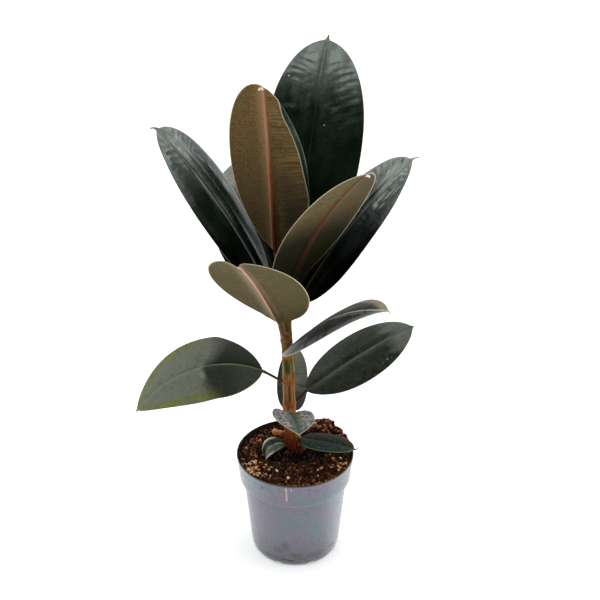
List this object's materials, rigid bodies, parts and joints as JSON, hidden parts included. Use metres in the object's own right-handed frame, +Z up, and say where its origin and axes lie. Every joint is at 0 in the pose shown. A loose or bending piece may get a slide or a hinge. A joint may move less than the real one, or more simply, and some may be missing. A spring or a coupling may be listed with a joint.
{
  "type": "potted rubber plant",
  "caption": "Young burgundy rubber plant with glossy oval leaves on one upright stem, growing in peat in a round tapered plastic nursery pot.",
  "frame": {"origin": "centre of the pot's flat foot, on the surface the pot stands on", "axes": "+Z up along the pot's axis; -Y towards the side the plant is seen from, +X to its right"},
  "size_m": [0.2775, 0.3244, 0.5191],
  "materials": {
    "pot_plastic": "satin blue-grey moulded plastic with faint scuffs, soil specks and a dried drip",
    "peat": "coarse dark peat with golden fibres and white perlite crumbs",
    "bark": "young orange-brown to olive bark with furrows and raised leaf rings",
    "orange_bark": "orange corky stub",
    "bud_sheath": "smooth red rolled sheath",
    "leaf_burgundy": "waxy near-black green upper side, matt olive underside with a red midrib and a pale thin margin",
    "leaf_grey_green": "duller dark grey-green older leaf with a pale green midrib and fine side veins"
  },
  "bodies": {
    "root": {"nursery_pot": "pot_plastic", "potting_soil": "peat", "stem": "bark", "terminal_bud": "bud_sheath", "side_bud": "orange_bark", "leaf_crown_back": "leaf_burgundy", "leaf_crown_front": "leaf_burgundy", "leaf_crown_left": "leaf_burgundy", "leaf_crown_right_front": "leaf_burgundy", "leaf_crown_right": "leaf_burgundy", "leaf_crown_low_front": "leaf_burgundy", "leaf_crown_back_left": "leaf_burgundy", "leaf_low_left": "leaf_grey_green", "leaf_middle_right": "leaf_grey_green", "leaf_low_right": "leaf_grey_green", "leaf_behind_stem": "leaf_grey_green", "leaf_small_front": "leaf_grey_green", "leaf_small_right": "leaf_grey_green", "leaf_small_left": "leaf_grey_green"}
  },
  "joints": []
}
